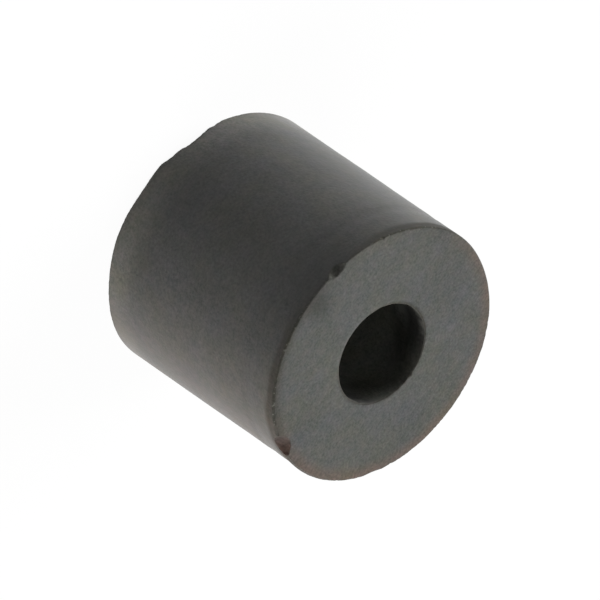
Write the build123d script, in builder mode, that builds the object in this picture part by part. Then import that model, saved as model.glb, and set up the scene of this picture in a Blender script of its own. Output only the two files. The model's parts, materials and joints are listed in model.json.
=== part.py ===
from build123d import *
import math
import os

# A ferrite bead: a short thick-walled tube, pressed from ferrite powder and sintered in one piece.
# It stands on one flat end, with its axis along +Z and its origin at the middle of that end.
# All sizes are in millimetres, and all angles are azimuths in degrees, from +X towards +Y.

# The tube.
outer_diameter = 3.50
bore_diameter = 1.38
bead_length = 3.25

# Tumbling after sintering only just breaks the edges, outside and at the two bore mouths.
outer_edge_round = 0.02
bore_edge_round = 0.015

# Chips have come off the outer edges. Each is a scoop with a round bottom, given by where it lies
# on the edge, how deep it cuts into the corner and the radius of its bottom: the larger the
# radius, the longer and flatter the chip.
top_chip_azimuth = -19.5
top_chip_depth = 0.10
top_chip_radius = 0.24

top_nick_azimuth = -107.5
top_nick_depth = 0.06
top_nick_radius = 0.23

bottom_chip_azimuth = -117.0
bottom_chip_depth = 0.07
bottom_chip_radius = 3.50

outer_radius = outer_diameter / 2
bore_radius = bore_diameter / 2

# Azimuth, depth and radius of each chip, the height of the end that it is on, and the way that
# this end faces along Z.
chips = [
    (top_chip_azimuth, top_chip_depth, top_chip_radius, bead_length, 1),
    (top_nick_azimuth, top_nick_depth, top_nick_radius, bead_length, 1),
    (bottom_chip_azimuth, bottom_chip_depth, bottom_chip_radius, 0, -1),
]

with BuildPart() as ferrite_body:
    # The wall of the tube.
    with BuildSketch():
        Circle(outer_radius)
        Circle(bore_radius, mode=Mode.SUBTRACT)
    extrude(amount=bead_length)

    # The edges of each end: the smaller circle is the bore mouth.
    for end_face in ferrite_body.faces().filter_by(GeomType.PLANE):
        bore_mouth, outer_edge = end_face.edges().sort_by(SortBy.LENGTH)
        fillet(bore_mouth, radius=bore_edge_round)
        fillet(outer_edge, radius=outer_edge_round)

    # The chips. Each is cut by a ball whose middle lies off the corner, halfway between the way
    # that the side faces and the way that the end faces.
    for azimuth, depth, radius, end_height, end_facing in chips:
        offset_from_edge = (radius - depth) * math.sqrt(0.5)
        ball_distance = outer_radius + offset_from_edge
        ball_x = ball_distance * math.cos(math.radians(azimuth))
        ball_y = ball_distance * math.sin(math.radians(azimuth))
        with Locations((ball_x, ball_y, end_height + end_facing * offset_from_edge)):
            Sphere(radius, mode=Mode.SUBTRACT)

ferrite_body.part.label = "ferrite_body"

os.makedirs("parts", exist_ok=True)
export_step(ferrite_body.part, "parts/ferrite_body.step")
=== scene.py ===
import json
import math

import bmesh
import bpy
import numpy as np
from bpy.props import FloatProperty, FloatVectorProperty, IntProperty, PointerProperty
from mathutils import Matrix, Vector, noise


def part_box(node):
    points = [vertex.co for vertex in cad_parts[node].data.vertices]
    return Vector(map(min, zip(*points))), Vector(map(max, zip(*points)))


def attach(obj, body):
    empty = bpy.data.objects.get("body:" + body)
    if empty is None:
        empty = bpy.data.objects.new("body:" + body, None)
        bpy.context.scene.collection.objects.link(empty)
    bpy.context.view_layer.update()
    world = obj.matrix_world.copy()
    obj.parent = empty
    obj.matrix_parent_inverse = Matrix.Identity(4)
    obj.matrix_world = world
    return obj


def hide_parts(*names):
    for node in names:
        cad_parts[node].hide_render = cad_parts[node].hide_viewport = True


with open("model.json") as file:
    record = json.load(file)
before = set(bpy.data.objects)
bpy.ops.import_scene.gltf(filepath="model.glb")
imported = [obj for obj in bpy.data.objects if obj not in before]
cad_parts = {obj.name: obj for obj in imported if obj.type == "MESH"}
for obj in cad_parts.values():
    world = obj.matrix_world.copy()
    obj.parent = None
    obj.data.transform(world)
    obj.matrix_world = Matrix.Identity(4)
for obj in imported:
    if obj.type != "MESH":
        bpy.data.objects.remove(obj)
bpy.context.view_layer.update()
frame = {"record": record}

bl_info = {
    "name": "Ferrite bead",
    "version": (1, 0, 0),
    "blender": (4, 5, 0),
    "location": "3D View > Sidebar > Ferrite bead",
    "description": "Builds a sintered ferrite bead with worn and chipped edges, and a plain stage for it",
    "category": "Mesh",
}

MM = 0.001

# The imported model's own sizes, in metres. The bead stands on its bottom end, with its axis on Z.
BODY_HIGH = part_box("ferrite_body")[1]
OUTER_RADIUS = BODY_HIGH.x
LENGTH = BODY_HIGH.z
MOUNTS = {mount["name"]: mount for mount in frame["record"]["mounts"]}
BORE_RADIUS = MOUNTS["wire_bore"]["dims"]["r_mm"] * MM

# How far from each outer edge the mesh is finest. The end faces follow the lip over the same span.
EDGE_MARGIN = 0.16 * MM
# How far short of a sharp edge wear is looked for, and how wide its colour fades in.
WEAR_REACH = 0.12 * MM
WEAR_FADE = 0.008 * MM
# A slanting edge plane and a chip's middle both lie at half a right angle to the end.
HALF_RIGHT = math.sqrt(0.5)


def linear(hex_colour):
    """An sRGB hex colour, such as "#4e504d", as linear red, green and blue."""
    shares = [int(hex_colour[i : i + 2], 16) / 255 for i in (1, 3, 5)]
    return [s / 12.92 if s <= 0.04045 else ((s + 0.055) / 1.055) ** 2.4 for s in shares]


def opaque(colour):
    """A colour with the alpha that colour sockets take."""
    return (*colour, 1.0)


def length_setting(name, description, millimetres):
    """A PropertyGroup length, given in millimetres and kept in metres."""
    return FloatProperty(
        name=name,
        description=description,
        default=millimetres * MM,
        unit="LENGTH",
        precision=6,
        min=0.0,
    )


def angle_setting(name, description, degrees):
    """A PropertyGroup angle, given in degrees and kept in radians."""
    return FloatProperty(
        name=name, description=description, default=math.radians(degrees), subtype="ANGLE"
    )


def colour_setting(name, description, hex_colour):
    """A PropertyGroup colour, given as sRGB hex and kept linear."""
    return FloatVectorProperty(
        name=name,
        description=description,
        default=linear(hex_colour),
        subtype="COLOR",
        size=3,
        min=0.0,
        max=1.0,
    )


class FerriteBodySettings(bpy.types.PropertyGroup):
    """Sizes and colours of the sintered body."""

    outer_edge_round: length_setting(
        "Outer edge round", "Radius that tumbling leaves on the outer edges", 0.02
    )
    bore_edge_round: length_setting(
        "Bore edge round", "Radius that tumbling leaves on the bore mouths", 0.015
    )
    ring_depth: length_setting("Ring depth", "Depth of the faint ring that the die left", 0.008)
    ring_level: length_setting("Ring level", "How far the faint ring is below the top end", 0.51)
    ring_width: length_setting("Ring width", "Half the width of the faint ring", 0.07)
    lip: length_setting("Lip", "How far the top end's edge flares out where it flares most", 0.018)
    lip_reach: length_setting("Lip reach", "How far down the side the flare reaches", 0.22)
    lip_azimuth: angle_setting("Lip azimuth", "Where the flare is widest", 24.0)
    dent_azimuth: angle_setting("Dent azimuth", "Where the lip is dented", 43.0)
    dent_depth: length_setting("Dent depth", "How far the dent goes in from the lip", 0.026)
    dent_span: angle_setting("Dent span", "Half the angle that the dent takes up", 5.5)
    wear: length_setting("Edge wear", "Mean depth worn off the outer edges", 0.005)
    bore_wear: length_setting("Bore wear", "Mean depth worn off the bore's edges", 0.005)
    mouth_wear: length_setting(
        "Bore mouth wear", "Depth worn off the top bore edge where it is worn most", 0.018
    )
    mouth_wear_azimuth: angle_setting(
        "Bore mouth wear azimuth", "Where the top bore edge is worn most", -90.0
    )
    bottom_wear: length_setting(
        "Bottom edge wear", "Depth worn off the bottom edge where it is worn most", 0.026
    )
    bottom_wear_azimuth: angle_setting(
        "Bottom wear azimuth", "Where the bottom edge is worn most", -42.0
    )
    top_chip_azimuth: angle_setting("Top chip azimuth", "Where the large chip lies", -19.5)
    top_chip_depth: length_setting("Top chip depth", "How deep the large chip cuts", 0.10)
    top_chip_radius: length_setting("Top chip radius", "Radius of the large chip's bottom", 0.24)
    top_nick_azimuth: angle_setting("Top nick azimuth", "Where the small nick lies", -107.5)
    top_nick_depth: length_setting("Top nick depth", "How deep the small nick cuts", 0.06)
    top_nick_radius: length_setting("Top nick radius", "Radius of the small nick's bottom", 0.23)
    bottom_chip_azimuth: angle_setting("Bottom chip azimuth", "Where the long chip lies", -117.0)
    bottom_chip_depth: length_setting("Bottom chip depth", "How deep the long chip cuts", 0.07)
    bottom_chip_radius: length_setting(
        "Bottom chip radius", "Radius of the long chip's bottom", 3.5
    )
    ridge_azimuth: angle_setting(
        "Ridge azimuth", "Where the long chip's two scallops meet", -112.3
    )
    ridge_height: length_setting("Ridge height", "How far the ridge there stands up", 0.018)
    top_edge_segments: IntProperty(
        name="Top edge segments",
        description="Points round the top outer edge; the rest of the mesh has a half or a quarter",
        default=960,
        min=96,
    )
    # The band just below the top edge is painted dark as shade.
    band_width: length_setting(
        "Band shade width", "How far below the top edge the side is painted dark as shade", 0.125
    )
    warm_azimuth: angle_setting("Warm flank azimuth", "Where the side is brownest", 0.0)
    # Painted shade: the side is painted darkest at this azimuth.
    shoulder_shade_azimuth: angle_setting("Shoulder azimuth", "Where the side is darkest", -105.0)
    shade_azimuth: angle_setting("Rim shade azimuth", "Where the top face's rim is darkest", -52.0)
    smudge_azimuth: angle_setting("Smudge azimuth", "Where the top face has a dark smudge", -92.0)
    # Painted shade inside the bore's mouths is lightest at this azimuth.
    mouth_shade_azimuth: angle_setting("Bore mouth azimuth", "Where the bore mouth is palest", 74.0)
    side_colour: colour_setting("Side", "The pressed side", "#444442")
    # Painted shade on one shoulder of the side.
    shoulder_shade_colour: colour_setting("Shoulder shade", "The darker part of the side", "#30302e")
    # Painted shade on the side just below the top edge.
    band_shade_colour: colour_setting("Band shade", "The side just below the top edge", "#25231e")
    foot_colour: colour_setting("Foot", "The paler side just above the bottom edge", "#595853")
    flank_colour: colour_setting("Warm flank", "The browner part of the side", "#4b443e")
    end_colour: colour_setting("End faces", "The ground end faces", "#4e4f4c")
    smudge_colour: colour_setting("Smudge", "The dark smudge on the top face", "#3a3b38")
    warm_colour: colour_setting("Warm rim", "The brownish cast on the end faces' rims", "#5f5249")
    # The edges are worn round, and their dark colour is partly wear and partly painted shade; it also
    # paints the top face's rim shade.
    worn_edge_and_shade_colour: colour_setting("Worn edges and shade", "The edges themselves, rubbed round", "#33322c")
    bore_colour: colour_setting("Bore", "The unworn skin inside the bore", "#6e6f68")
    # Painted shade on the wall just inside each bore mouth.
    mouth_shade_colour: colour_setting("Bore mouth", "The wall just inside each bore mouth", "#0d0d0c")
    scar_colour: colour_setting("Chip scar", "The bottom of the large chip", "#302824")
    rust_colour: colour_setting("Rust", "The oxidised patch in the large chip", "#3d2e26")
    small_scar_colour: colour_setting("Small scars", "The bottoms of the other chips", "#3c3c37")
    # Painted glints: light specks standing in for crystals that catch the light.
    painted_glint_colour: colour_setting("Painted glints", "Crystals laid open along worn edges", "#585852")


class StageSettings(bpy.types.PropertyGroup):
    """Floor, light and camera."""

    floor_width: length_setting("Floor width", "Side of the square floor", 1600.0)
    floor_colour: colour_setting("Floor", "Pale matt floor", "#bcbcba")
    floor_glow: FloatProperty(
        name="Floor glow",
        description="Share of plain white in what the camera sees of the floor; the rest is lit",
        default=0.95,
        min=0.0,
        max=1.0,
        subtype="FACTOR",
    )
    fill: FloatProperty(
        name="Fill", description="Strength of the even light from all round", default=0.05, min=0.0
    )
    lamp_distance: length_setting("Softbox distance", "From the bead to each softbox", 500.0)
    lamp_height: length_setting("Side softbox height", "Height of each side softbox", 240.0)
    lamp_level: length_setting("Side softbox level", "Height of each side softbox's middle", 125.0)
    top_width: length_setting("Top softbox width", "Side of the square softbox overhead", 500.0)
    top_radiance: FloatProperty(
        name="Top softbox", description="Brightness of the softbox overhead", default=0.9, min=0.0
    )
    right_azimuth: angle_setting("Right softbox azimuth", "0 is +X", 14.0)
    right_width: length_setting("Right softbox width", "Width of the softbox on the right", 750.0)
    right_radiance: FloatProperty(
        name="Right softbox",
        description="Brightness of the softbox on the right",
        default=11.7,
        min=0.0,
    )
    left_azimuth: angle_setting("Left softbox azimuth", "0 is +X", 150.0)
    left_width: length_setting("Left softbox width", "Width of the softbox on the left", 500.0)
    left_radiance: FloatProperty(
        name="Left softbox",
        description="Brightness of the softbox on the left",
        default=17.2,
        min=0.0,
    )
    camera_distance: length_setting("Camera distance", "From the bead's middle", 262.5)
    camera_width: length_setting("Width in view", "What the frame spans at the bead's middle", 7.457)
    camera_elevation: angle_setting("Camera elevation", "Above the horizon", 38.75)
    camera_roll: angle_setting(
        "Camera roll", "Turns the upright picture, so that the standing bead leans over in it", 124.6
    )


# ---------------------------------------------------------------------------------------------
# The body's mesh
# ---------------------------------------------------------------------------------------------


def wall_section(settings):
    """The wall's section as stations in order round it, from the bottom of the bore up through
    the top end, down the side and in over the bottom end. Each row is a station's radius and
    height, which way it faces, out and up, and how many points its ring has."""
    fine = settings.top_edge_segments
    middle = fine // 2
    coarse = fine // 4
    inner, outer, height = BORE_RADIUS, OUTER_RADIUS, LENGTH
    bore_round, edge_round = settings.bore_edge_round, settings.outer_edge_round
    margin = EDGE_MARGIN

    stations = []

    def straight(start, end, facing, steps, segments):
        """Evenly spaced stations from start up to, but not at, end."""
        for share in np.linspace(0.0, 1.0, steps, endpoint=False):
            radius = start[0] + (end[0] - start[0]) * share
            level = start[1] + (end[1] - start[1]) * share
            stations.append((radius, level, *facing, segments))

    def rounded(middle_radius, middle_height, radius, first_degrees, steps, segments):
        """Stations over a quarter turn, clockwise from the first angle."""
        for share in np.linspace(0.0, 1.0, steps, endpoint=False):
            angle = math.radians(first_degrees - 90.0 * share)
            out, up = math.cos(angle), math.sin(angle)
            stations.append(
                (middle_radius + radius * out, middle_height + radius * up, out, up, segments)
            )

    top, bottom = height - edge_round, edge_round
    straight((inner, bore_round), (inner, height - bore_round), (-1, 0), 24, coarse)
    rounded(inner + bore_round, height - bore_round, bore_round, 180, 5, middle)
    straight((inner + bore_round, height), (outer - margin, height), (0, 1), 24, middle)
    straight((outer - margin, height), (outer - edge_round, height), (0, 1), 8, fine)
    rounded(outer - edge_round, top, edge_round, 90, 8, fine)
    straight((outer, top), (outer, height - margin), (1, 0), 8, fine)
    straight((outer, height - margin), (outer, margin), (1, 0), 48, middle)
    straight((outer, margin), (outer, bottom), (1, 0), 8, middle)
    rounded(outer - edge_round, bottom, edge_round, 0, 8, middle)
    straight((outer - edge_round, 0), (outer - margin, 0), (0, -1), 8, middle)
    straight((outer - margin, 0), (inner + bore_round, 0), (0, -1), 12, middle)
    rounded(inner + bore_round, bore_round, bore_round, 270, 5, middle)
    return np.array(stations)


def rough(places, size, seed):
    """Smooth noise from about -1 to 1 at each place, with features about as large as size."""
    shift = Vector((seed * 17.3, seed * 5.1, seed * 9.7))
    return np.array([noise.noise(Vector(place) / size + shift) for place in places])


def falling(values, full, none):
    """1 where values are at most full, 0 where they are at least none, and smooth between."""
    share = np.clip((none - values) / (none - full), 0.0, 1.0)
    return share * share * (3.0 - 2.0 * share)


def bell(values, spread):
    """A smooth bump: 1 where values are 0, and falling off over about spread each way."""
    return np.exp(-((values / spread) ** 2))


def angle_from(azimuths, centre):
    """How far each azimuth is from centre, in radians, the shorter way round."""
    return np.abs((azimuths - centre + math.pi) % (2 * math.pi) - math.pi)


def edge_wear(settings, edge_places, azimuths, top, outer):
    """How deep each place on an edge is worn: slow changes, fine ones and small chips, and then
    the parts of the bottom edge and of the top bore mouth that are worn most."""
    slow = 1.0 + 0.5 * rough(edge_places, 0.6 * MM, 1 + top)
    fine = 0.7 * rough(edge_places, 0.09 * MM, 3 + top)
    grain_share = 0.6 if outer else 0.3
    fine += grain_share * rough(edge_places, 0.035 * MM, 5 + top)
    chips = 4.0 * np.clip(rough(edge_places, 0.07 * MM, 7 + top) - 0.35, 0.0, 1.0)
    depth = settings.wear if outer else settings.bore_wear
    worn = depth * np.clip(slow + fine + chips, 0.1, None)
    if outer and not top:
        # On one side, and beside the long chip on both sides. Angles are in radians.
        for centre, spread in (
            (settings.bottom_wear_azimuth, 0.45),
            (settings.bottom_chip_azimuth + 0.5, 0.2),
            (settings.bottom_chip_azimuth - 0.24, 0.06),
        ):
            worn += settings.bottom_wear * bell(angle_from(azimuths, centre), spread)
    if top and not outer:
        from_worst = angle_from(azimuths, settings.mouth_wear_azimuth)
        worn += settings.mouth_wear * bell(from_worst, 1.0)
    return worn


def chip_balls(settings):
    """The ball that each chip is cut by: its middle and its radius."""
    chips = [
        (settings.top_chip_azimuth, settings.top_chip_depth, settings.top_chip_radius, LENGTH, 1),
        (settings.top_nick_azimuth, settings.top_nick_depth, settings.top_nick_radius, LENGTH, 1),
        (
            settings.bottom_chip_azimuth,
            settings.bottom_chip_depth,
            settings.bottom_chip_radius,
            0.0,
            -1,
        ),
    ]
    balls = []
    for azimuth, depth, radius, end_height, end_facing in chips:
        offset = (radius - depth) * HALF_RIGHT
        distance = OUTER_RADIUS + offset
        centre = (
            distance * math.cos(azimuth),
            distance * math.sin(azimuth),
            end_height + end_facing * offset,
        )
        balls.append((np.array(centre), radius))
    return balls


def body_points(settings, stations):
    """Every point of the mesh, ring by ring, and its masks for the material."""
    radii, heights, outs, ups, azimuths = [], [], [], [], []
    for radius, height, out, up, segments in stations:
        count = int(segments)
        radii.append(np.full(count, radius))
        heights.append(np.full(count, height))
        outs.append(np.full(count, out))
        ups.append(np.full(count, up))
        azimuths.append(np.arange(count) * 2 * math.pi / count)
    radii, heights, outs, ups, azimuths = map(
        np.concatenate, (radii, heights, outs, ups, azimuths)
    )
    around = np.stack([np.cos(azimuths), np.sin(azimuths)], axis=1)
    # The faint ring and the flared lip with its dent move the side in and out, and the end
    # faces' outermost rings go with it, less and less towards the bore.
    carried = falling(OUTER_RADIUS - radii, settings.outer_edge_round, EDGE_MARGIN)
    from_top = LENGTH - heights
    ring = settings.ring_depth * bell(from_top - settings.ring_level, settings.ring_width)
    flare = settings.lip * (0.6 + 0.4 * np.cos(azimuths - settings.lip_azimuth))
    # Over a short stretch well round from there, the edge draws in a little instead.
    tuck_azimuth = settings.lip_azimuth + 2.3
    flare -= settings.lip * 0.9 * bell(angle_from(azimuths, tuck_azimuth), 0.35)
    from_dent = angle_from(azimuths, settings.dent_azimuth)
    flare -= settings.dent_depth * bell(from_dent, settings.dent_span)
    lip = flare * falling(from_top, 0.0, settings.lip_reach)
    radii = radii + carried * (lip - ring)

    # Slow unevenness left by pressing and by shrinking in the kiln. The bottom end stays flat.
    places = np.stack([radii * around[:, 0], radii * around[:, 1], heights], axis=1)
    swell = 0.0035 * MM * rough(places, 0.8 * MM, 11)
    swell = swell + 0.0012 * MM * rough(places, 0.16 * MM, 12)
    radii = radii + swell * outs
    upper_half = np.where(heights > LENGTH / 2, 1.0, 0.0)
    heights = heights + swell * ups * upper_half

    # Each edge is cut back by a slanting plane, as deep as it is worn there.
    worn_share = np.zeros(len(radii))
    for top in (0, 1):
        for outer in (0, 1):
            edge_radius = OUTER_RADIUS if outer else BORE_RADIUS
            out = 1.0 if outer else -1.0
            up = 1.0 if top else -1.0
            end_height = LENGTH if top else 0.0
            beyond = (out * (radii - edge_radius) + up * (heights - end_height)) * HALF_RIGHT
            near = beyond > -WEAR_REACH
            edge_places = np.stack(
                [
                    edge_radius * around[near, 0],
                    edge_radius * around[near, 1],
                    np.full(near.sum(), end_height),
                ],
                axis=1,
            )
            worn = edge_wear(settings, edge_places, azimuths[near], top, outer)
            past_plane = beyond[near] + worn
            over = np.clip(past_plane, 0.0, None)
            radii[near] -= out * over * HALF_RIGHT
            heights[near] -= up * over * HALF_RIGHT
            share = np.clip(1.0 + past_plane / WEAR_FADE, 0.0, 1.0)
            worn_share[near] = np.maximum(worn_share[near], share)

    # Chips: a point inside a chip's ball is pushed out to the ball's ragged surface. The long
    # chip, the only one low on the body, has a ridge where its two scallops meet.
    places = np.stack([radii * around[:, 0], radii * around[:, 1], heights], axis=1)
    scars = []
    for index, (centre, ball_radius) in enumerate(chip_balls(settings)):
        away = places - centre
        distance = np.linalg.norm(away, axis=1)
        near = distance < ball_radius + 0.04 * MM
        ragged = 0.010 * MM * rough(places[near], 0.07 * MM, 20 + index)
        ragged += 0.005 * MM * rough(places[near], 0.03 * MM, 30 + index)
        ridge = bell(angle_from(azimuths[near], settings.ridge_azimuth), 0.045)
        low_down = places[near, 2] < LENGTH / 2
        ridge = ridge * low_down
        wanted = ball_radius + ragged - settings.ridge_height * ridge
        inside = np.clip(wanted - distance[near], 0.0, None)
        places[near] += away[near] / distance[near, None] * inside[:, None]
        scar = np.zeros(len(places))
        scar[near] = falling(distance[near] - wanted, -0.012 * MM, 0.018 * MM)
        scars.append(scar)

    large_scar = scars[0]
    small_scar = np.maximum(scars[1], scars[2])
    whole = (1.0 - large_scar) * (1.0 - small_scar)
    # 1 on the flat ends, the side or the bore, and fading over the rounded edges between them.
    facing_end = np.clip((np.abs(ups) - 0.85) / 0.15, 0.0, 1.0)
    facing_out = np.clip(3.0 * outs, 0.0, 1.0) * (1.0 - facing_end)
    facing_in = np.clip(-1.4 * outs, 0.0, 1.0)
    # As a share of the outer radius: the bore's wall starts at about 0.6, and 0.3 is mid-wall.
    from_rim = 1.0 - radii / OUTER_RADIUS
    bore_half = from_rim > 0.3
    outer_half = from_rim < 0.3
    from_mouth = np.minimum(heights, from_top)
    patchy = np.clip(0.8 + 0.5 * rough(places, 0.55 * MM, 41), 0.0, 1.0)

    def towards(centre, spread):
        """1 at the azimuth centre, and falling off over about spread radians each way."""
        return bell(angle_from(azimuths, centre), spread)

    # The shoulder's painted shade is darkest near the top end, and fades lower down but not to nothing.
    near_top = 0.37 + 0.63 * falling(from_top, 0.15 * MM, 0.95 * MM)
    shoulder_shade = towards(settings.shoulder_shade_azimuth, 0.75) * near_top
    flank = towards(settings.warm_azimuth, 0.75)
    # The band of painted shade below the top edge fades out, and its lower edge softens, towards the
    # middle of the shoulder's painted shade.
    faint = towards(settings.shoulder_shade_azimuth, 0.6)
    band_width = settings.band_width * (1.0 + 0.55 * flank + 0.2 * rough(places, 0.3 * MM, 40))
    band_end = band_width * (1.35 + 0.4 * faint)
    band = (1.0 - 0.75 * faint) * falling(from_top, band_width * (0.7 - 0.4 * faint), band_end)
    warm = 0.1 + 0.55 * falling(angle_from(azimuths, settings.warm_azimuth + 1.3), 1.6, 2.1)
    warm += 0.35 * towards(settings.warm_azimuth + 0.2, 0.6)
    # The worn edges' painted shade is lighter on the warm side and at the shoulder.
    pale_edge = 0.75 * np.maximum(warm, towards(settings.shoulder_shade_azimuth, 0.5))
    shade = 0.75 * towards(settings.shade_azimuth, 0.75)
    # Painted shade in the bore's mouths: dark near each end, lightest at one azimuth.
    mouth = 1.0 - 0.6 * towards(settings.mouth_shade_azimuth, 0.55)
    mouth = mouth * falling(from_mouth, 0.3 * MM, 0.7 * MM)
    smudge = towards(settings.smudge_azimuth, 0.13) * falling(from_rim, 0.05, 0.35)
    in_bore = np.clip(-4.0 * outs, 0.0, 1.0)
    rust = towards(settings.top_chip_azimuth + 0.06, 0.06)
    masks = {
        "end_face": facing_end,
        "bore_wall": facing_in,
        # Painted shade inside the bore's mouths.
        "bore_mouth_shade": in_bore * mouth,
        # Painted shade on one shoulder of the side.
        "shoulder_shade": facing_out * shoulder_shade,
        # Painted shade just below the top edge.
        "painted_band_shade": facing_out * band,
        "pale_foot": facing_out * falling(heights, 0.10 * MM, 0.62 * MM),
        "warm_flank": facing_out * flank * patchy,
        "warm_rim": facing_end * warm * patchy * falling(from_rim, 0.015, 0.13),
        "rim_shade": facing_end * shade * falling(from_rim, 0.0, 0.09),
        "smudge": facing_end * smudge,
        # The edges' dark colour is partly wear and partly painted shade.
        "bore_edge": worn_share * bore_half,
        "edge_wear": worn_share * whole * (1.0 - pale_edge) * outer_half,
        "large_scar": large_scar,
        "rust": large_scar * rust,
        "small_scar": small_scar,
    }
    return places, masks


def body_faces(stations):
    """Faces between each ring and the next, and from the last ring back to the first. Where one
    ring has twice the points of the other, each of its pairs of edges meets one edge there."""
    counts = [int(count) for count in stations[:, 4]]
    starts = np.concatenate([[0], np.cumsum(counts)[:-1]])
    faces = []
    for ring in range(len(counts)):
        after = (ring + 1) % len(counts)
        here, there = int(starts[ring]), int(starts[after])
        many, few = counts[ring], counts[after]
        if many == few:
            for i in range(many):
                j = (i + 1) % many
                faces.append((here + i, here + j, there + j, there + i))
            continue
        if many < few:
            here, there, many, few = there, here, few, many
        for i in range(few):
            j = (i + 1) % few
            first, second, third = 2 * i, 2 * i + 1, (2 * i + 2) % many
            faces.append((there + i, here + first, here + second))
            faces.append((there + i, here + second, there + j))
            faces.append((there + j, here + second, here + third))
    return faces


def make_ferrite_body(settings):
    """The bead as one closed mesh, with its masks as point attributes."""
    stations = wall_section(settings)
    places, masks = body_points(settings, stations)
    mesh = bpy.data.meshes.new("sintered_ferrite_body")
    mesh.from_pydata(places.tolist(), [], body_faces(stations))
    for name, values in masks.items():
        attribute = mesh.attributes.new(name, "FLOAT", "POINT")
        attribute.data.foreach_set("value", values.astype(np.float32))

    shape = bmesh.new()
    shape.from_mesh(mesh)
    bmesh.ops.recalc_face_normals(shape, faces=shape.faces)
    for face in shape.faces:
        face.smooth = True
    shape.to_mesh(mesh)
    shape.free()

    body = bpy.data.objects.new("sintered_ferrite_body", mesh)
    bpy.context.scene.collection.objects.link(body)
    return body


# ---------------------------------------------------------------------------------------------
# Materials
# ---------------------------------------------------------------------------------------------


def add_node(tree, kind, inputs=None, output=0, **settings):
    """Adds a node, sets its settings, fills its inputs with values or with links from other
    nodes' outputs, and returns the output that is asked for."""
    node = tree.nodes.new(kind)
    for name, value in settings.items():
        setattr(node, name, value)
    for name, value in (inputs or {}).items():
        if isinstance(value, bpy.types.NodeSocket):
            tree.links.new(value, node.inputs[name])
        else:
            node.inputs[name].default_value = value
    return node.outputs[output] if node.outputs else None


def empty_material(name):
    """A new material with no nodes yet."""
    material = bpy.data.materials.new(name)
    material.use_nodes = True
    material.node_tree.nodes.clear()
    return material


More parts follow.
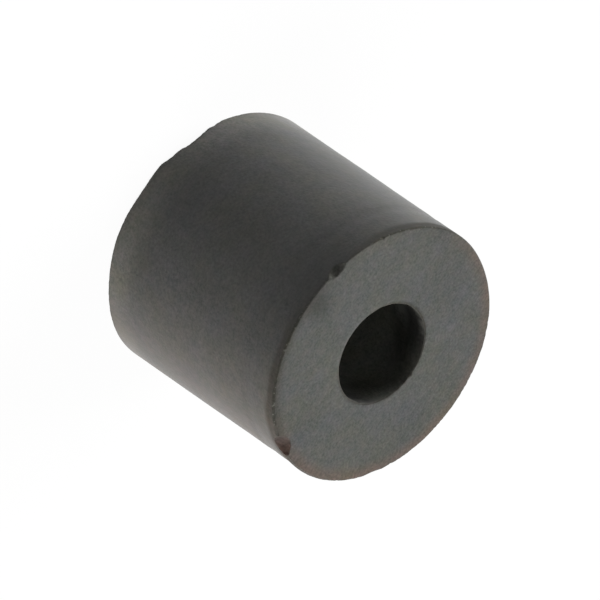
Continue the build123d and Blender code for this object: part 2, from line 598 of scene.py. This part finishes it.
def pressed_sintered_ferrite(settings):
    """Nickel-zinc ferrite, pressed from granules and sintered, with its ends ground, and then
    tumbled. The kiln leaves a matt, slightly porous dark grey skin. It has hardly any gloss face
    on, but it pales towards the outline, and the ground ends stay flat grey. Painted shade darkens
    the side just below its top edge, one shoulder of the side, the top face's rim on one side and
    the bore's mouths; the worn edges are dark partly from wear and partly from painted shade.
    Painted glints speck the worn edges, and a break is brown where the iron in it has oxidised."""
    material = empty_material("pressed_sintered_ferrite")
    tree = material.node_tree
    place = add_node(tree, "ShaderNodeTexCoord", output="Object")
    in_mm = add_node(tree, "ShaderNodeVectorMath", {0: place, "Scale": 1 / MM}, operation="SCALE")

    # Patterns to the millimetre. Crystals are 0.005 to 0.02 mm across: they are drawn at about
    # 0.035 mm, as fine as shows in a render.
    crystals_per_mm = 28.0
    crystals = add_node(
        tree,
        "ShaderNodeTexNoise",
        {"Vector": in_mm, "Scale": crystals_per_mm, "Detail": 2.0, "Roughness": 0.6},
    )
    # Pressed granules of powder, about 0.11 mm across, still show as a faint mottle.
    granules_per_mm = 9.0
    granules = add_node(
        tree,
        "ShaderNodeTexNoise",
        {"Vector": in_mm, "Scale": granules_per_mm, "Detail": 2.0, "Roughness": 0.6},
    )
    # Handling and kiln atmosphere leave smudges of about 0.6 mm.
    smudges_per_mm = 1.7
    smudges = add_node(
        tree, "ShaderNodeTexNoise", {"Vector": in_mm, "Scale": smudges_per_mm, "Detail": 1.5}
    )
    # Patches fired a little differently, up to 0.4 mm across, lean to violet or to olive.
    patches_per_mm = 2.6
    hues = add_node(
        tree,
        "ShaderNodeTexNoise",
        {"Vector": in_mm, "Scale": patches_per_mm, "Detail": 3.0, "Roughness": 0.6, "W": 3.0},
        noise_dimensions="4D",
    )

    # Each area of the surface has its own colour, laid over the one before it. Some are painted
    # shade: the shoulder, the band below the top edge, the top face's rim, the bore's mouths and
    # edges, and in part the worn outer edges.
    colour = opaque(settings.side_colour)
    for mask, area_colour in (
        # Painted shade: the shoulder, and the band just below the top edge.
        ("shoulder_shade", settings.shoulder_shade_colour),
        ("painted_band_shade", settings.band_shade_colour),
        ("pale_foot", settings.foot_colour),
        ("warm_flank", settings.flank_colour),
        ("end_face", settings.end_colour),
        ("smudge", settings.smudge_colour),
        ("warm_rim", settings.warm_colour),
        # Painted shade: the top face's rim, the bore's mouths and edges, and in part the worn outer
        # edges.
        ("rim_shade", settings.worn_edge_and_shade_colour),
        ("bore_wall", settings.bore_colour),
        ("bore_mouth_shade", settings.mouth_shade_colour),
        ("bore_edge", settings.worn_edge_and_shade_colour),
        ("edge_wear", settings.worn_edge_and_shade_colour),
        ("small_scar", settings.small_scar_colour),
        ("large_scar", settings.scar_colour),
        ("rust", settings.rust_colour),
    ):
        share = add_node(tree, "ShaderNodeAttribute", output="Fac", attribute_name=mask)
        colour = add_node(
            tree,
            "ShaderNodeMix",
            {"Factor": share, 6: colour, 7: opaque(area_colour)},
            output=2,
            data_type="RGBA",
        )

    # The mottle: each pattern lightens and darkens the colour, the crystals' most of all.
    mottle = 1.0
    for pattern, strength in ((crystals, 1.2), (granules, 0.55), (smudges, 0.35)):
        about_zero = add_node(tree, "ShaderNodeMath", {0: pattern, 1: 0.5}, operation="SUBTRACT")
        mottle = add_node(
            tree,
            "ShaderNodeMath",
            {0: about_zero, 1: strength, 2: mottle},
            operation="MULTIPLY_ADD",
        )
    colour = add_node(
        tree, "ShaderNodeVectorMath", {0: colour, "Scale": mottle}, operation="SCALE"
    )
    # The patches lean to violet or to olive, and the granules to green or to red.
    for pattern, cooler, warmer in (
        (hues, (0.985, 0.995, 1.09, 1.0), (1.01, 1.005, 0.91, 1.0)),
        (granules, (0.955, 1.015, 0.99, 1.0), (1.045, 0.985, 1.01, 1.0)),
    ):
        lean = add_node(
            tree, "ShaderNodeMapRange", {"Value": pattern, "From Min": 0.3, "From Max": 0.7}
        )
        tint = add_node(
            tree,
            "ShaderNodeMix",
            {"Factor": lean, 6: cooler, 7: warmer},
            output=2,
            data_type="RGBA",
        )
        colour = add_node(
            tree, "ShaderNodeVectorMath", {0: colour, 1: tint}, operation="MULTIPLY"
        )

    # Painted glints: light specks of colour where the edges are worn, standing in for crystals that catch
    # the light.
    glints_per_mm = 30.0
    sparkle = add_node(
        tree, "ShaderNodeTexNoise", {"Vector": in_mm, "Scale": glints_per_mm, "Detail": 0.0}
    )
    worn = add_node(tree, "ShaderNodeAttribute", output="Fac", attribute_name="edge_wear")
    painted_glint = add_node(
        tree,
        "ShaderNodeMapRange",
        {"Value": sparkle, "From Min": 0.65, "From Max": 0.74, "To Min": 0.0, "To Max": 1.0},
    )
    painted_glint = add_node(tree, "ShaderNodeMath", {0: painted_glint, 1: worn}, operation="MULTIPLY")
    colour = add_node(
        tree,
        "ShaderNodeMix",
        {"Factor": painted_glint, 6: colour, 7: opaque(settings.painted_glint_colour)},
        output=2,
        data_type="RGBA",
    )

    # The ground ends, the band of painted shade below the top edge, worn edges and breaks are rougher
    # than the pressed side.
    roughness = add_node(
        tree,
        "ShaderNodeMapRange",
        {"Value": crystals, "From Min": 0.3, "From Max": 0.7, "To Min": 0.34, "To Max": 0.46},
    )
    for mask, rougher in (
        ("end_face", 0.95),
        ("painted_band_shade", 0.8),
        ("bore_edge", 1.0),
        ("edge_wear", 1.0),
        ("large_scar", 0.9),
        ("small_scar", 0.9),
    ):
        share = add_node(tree, "ShaderNodeAttribute", output="Fac", attribute_name=mask)
        roughness = add_node(
            tree, "ShaderNodeMix", {"Factor": share, 2: roughness, 3: rougher}, data_type="FLOAT"
        )

    height = add_node(
        tree, "ShaderNodeMath", {0: granules, 1: 0.8, 2: crystals}, operation="MULTIPLY_ADD"
    )
    # Distance is the real relief of the skin, a few thousandths of a millimetre.
    normal = add_node(
        tree, "ShaderNodeBump", {"Height": height, "Strength": 0.6, "Distance": 0.004 * MM}
    )
    shader = add_node(
        tree,
        "ShaderNodeBsdfPrincipled",
        {
            "Base Color": colour,
            "Roughness": roughness,
            "IOR": 1.5,
            "Specular IOR Level": 0.25,
            "Normal": normal,
        },
    )
    add_node(tree, "ShaderNodeOutputMaterial", {"Surface": shader})
    return material


def seen_directly(tree):
    """1 for camera, glossy and transmission rays, and 0 for the rays that carry soft light."""
    rays = add_node(tree, "ShaderNodeLightPath").node.outputs
    seen = rays["Is Camera Ray"]
    for kind in ("Is Glossy Ray", "Is Transmission Ray"):
        seen = add_node(tree, "ShaderNodeMath", {0: seen, 1: rays[kind]}, operation="MAXIMUM")
    return seen


def matt_laminate(settings):
    """Matt pale laminate, printed and pressed: a floor with no gloss of its own. What is seen
    directly is mostly plain white, and the rest of it is lit, so the bead's shadow stays."""
    material = empty_material("matt_laminate")
    tree = material.node_tree
    seen = seen_directly(tree)
    colour = add_node(
        tree,
        "ShaderNodeMix",
        {"Factor": seen, 6: opaque(settings.floor_colour), 7: (1.0, 1.0, 1.0, 1.0)},
        output=2,
        data_type="RGBA",
    )
    lit = add_node(tree, "ShaderNodeBsdfDiffuse", {"Color": colour})
    white = add_node(tree, "ShaderNodeEmission", {"Strength": 1.0})
    share = add_node(
        tree, "ShaderNodeMath", {0: seen, 1: settings.floor_glow}, operation="MULTIPLY"
    )
    surface = add_node(tree, "ShaderNodeMixShader", {0: share, 1: lit, 2: white})
    add_node(tree, "ShaderNodeOutputMaterial", {"Surface": surface})
    return material


# ---------------------------------------------------------------------------------------------
# The stage
# ---------------------------------------------------------------------------------------------


def make_floor(settings):
    """A flat square floor under the bead."""
    mesh = bpy.data.meshes.new("floor")
    shape = bmesh.new()
    bmesh.ops.create_grid(shape, x_segments=1, y_segments=1, size=settings.floor_width / 2)
    shape.to_mesh(mesh)
    shape.free()
    floor = bpy.data.objects.new("floor", mesh)
    bpy.context.scene.collection.objects.link(floor)
    floor.data.materials.append(matt_laminate(settings))


def make_world(settings):
    """Even dim fill light, and plain white where it is seen directly."""
    world = bpy.data.worlds.new("studio")
    world.use_nodes = True
    tree = world.node_tree
    tree.nodes.clear()
    white = (1.0, 1.0, 1.0, 1.0)
    fill = add_node(tree, "ShaderNodeBackground", {"Color": white, "Strength": settings.fill})
    backdrop = add_node(tree, "ShaderNodeBackground", {"Color": white, "Strength": 1.0})
    seen = seen_directly(tree)
    surface = add_node(tree, "ShaderNodeMixShader", {0: seen, 1: fill, 2: backdrop})
    add_node(tree, "ShaderNodeOutputWorld", {"Surface": surface})
    bpy.context.scene.world = world


def make_softbox(name, place, width, height, radiance):
    """A rectangular lamp at this place, which faces the bead."""
    lamp = bpy.data.lights.new(name, "AREA")
    lamp.shape = "RECTANGLE"
    lamp.size = width
    lamp.size_y = height
    lamp.energy = radiance * math.pi * width * height
    softbox = bpy.data.objects.new(name, lamp)
    softbox.location = place
    softbox.rotation_mode = "QUATERNION"
    softbox.rotation_quaternion = place.to_track_quat("Z", "Y")
    softbox.visible_camera = False
    bpy.context.scene.collection.objects.link(softbox)


def make_softboxes(settings):
    """One weak softbox overhead, and two on the floor, a little behind the bead on each side."""
    distance = settings.lamp_distance
    width = settings.top_width
    make_softbox("top_softbox", Vector((0.0, 0.0, distance)), width, width, settings.top_radiance)
    for name, azimuth, width, radiance in (
        ("right_softbox", settings.right_azimuth, settings.right_width, settings.right_radiance),
        ("left_softbox", settings.left_azimuth, settings.left_width, settings.left_radiance),
    ):
        place = Vector(
            (distance * math.cos(azimuth), distance * math.sin(azimuth), settings.lamp_level)
        )
        make_softbox(name, place, width, settings.lamp_height, radiance)


def make_camera(settings):
    """A long lens that looks down on the bead from the front and is turned about its own axis."""
    elevation = settings.camera_elevation
    back = Vector((0.0, -math.cos(elevation), math.sin(elevation)))
    lens = bpy.data.cameras.new("camera")
    lens.sensor_width = 36.0
    lens.lens = lens.sensor_width * settings.camera_distance / settings.camera_width
    lens.clip_start = settings.camera_distance * 0.1
    lens.clip_end = settings.camera_distance * 10
    camera = bpy.data.objects.new("camera", lens)
    middle = Vector((0.0, 0.0, LENGTH / 2))
    camera.rotation_mode = "QUATERNION"
    upright = back.to_track_quat("Z", "Y")
    roll = Matrix.Rotation(settings.camera_roll, 3, "Z").to_quaternion()
    camera.rotation_quaternion = upright @ roll
    # The bead stands a little off the middle of the frame.
    shift_right, shift_up = 0.022 * MM, -0.051 * MM
    off_centre = camera.rotation_quaternion @ Vector((shift_right, shift_up, 0.0))
    camera.location = middle + off_centre + back * settings.camera_distance
    bpy.context.scene.collection.objects.link(camera)
    bpy.context.scene.camera = camera


# ---------------------------------------------------------------------------------------------
# Operators and panel
# ---------------------------------------------------------------------------------------------


class BEAD_OT_ferrite_body(bpy.types.Operator):
    """Build the bead's sintered body, with its worn edges, chips and finish"""

    bl_idname = "bead.ferrite_body"
    bl_label = "Ferrite body"
    bl_options = {"REGISTER", "UNDO"}

    def execute(self, context):
        settings = context.scene.bead_ferrite_body
        body = make_ferrite_body(settings)
        body.data.materials.append(pressed_sintered_ferrite(settings))
        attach(body, "root")
        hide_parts("ferrite_body")
        return {"FINISHED"}


class BEAD_OT_stage(bpy.types.Operator):
    """Build the pale floor, the soft studio light and the camera"""

    bl_idname = "bead.stage"
    bl_label = "Stage"
    bl_options = {"REGISTER", "UNDO"}

    def execute(self, context):
        settings = context.scene.bead_stage
        context.scene.view_settings.view_transform = "Standard"
        make_floor(settings)
        make_world(settings)
        make_softboxes(settings)
        make_camera(settings)
        return {"FINISHED"}


class BEAD_PT_sidebar(bpy.types.Panel):
    """Lists what the add-on builds"""

    bl_idname = "BEAD_PT_sidebar"
    bl_label = "Ferrite bead"
    bl_space_type = "VIEW_3D"
    bl_region_type = "UI"
    bl_category = "Ferrite bead"

    def draw(self, context):
        scene = context.scene
        for operator, settings in (
            (BEAD_OT_ferrite_body, scene.bead_ferrite_body),
            (BEAD_OT_stage, scene.bead_stage),
        ):
            box = self.layout.box()
            box.operator(operator.bl_idname)
            for name in type(settings).__annotations__:
                box.prop(settings, name)


CLASSES = (
    FerriteBodySettings,
    StageSettings,
    BEAD_OT_ferrite_body,
    BEAD_OT_stage,
    BEAD_PT_sidebar,
)


def register():
    for each in CLASSES:
        bpy.utils.register_class(each)
    bpy.types.Scene.bead_ferrite_body = PointerProperty(type=FerriteBodySettings)
    bpy.types.Scene.bead_stage = PointerProperty(type=StageSettings)


def unregister():
    del bpy.types.Scene.bead_stage
    del bpy.types.Scene.bead_ferrite_body
    for each in reversed(CLASSES):
        bpy.utils.unregister_class(each)


def main():
    """Builds everything in order."""
    register()
    bpy.ops.bead.ferrite_body()
    bpy.ops.bead.stage()


if __name__ == "__main__":
    main()
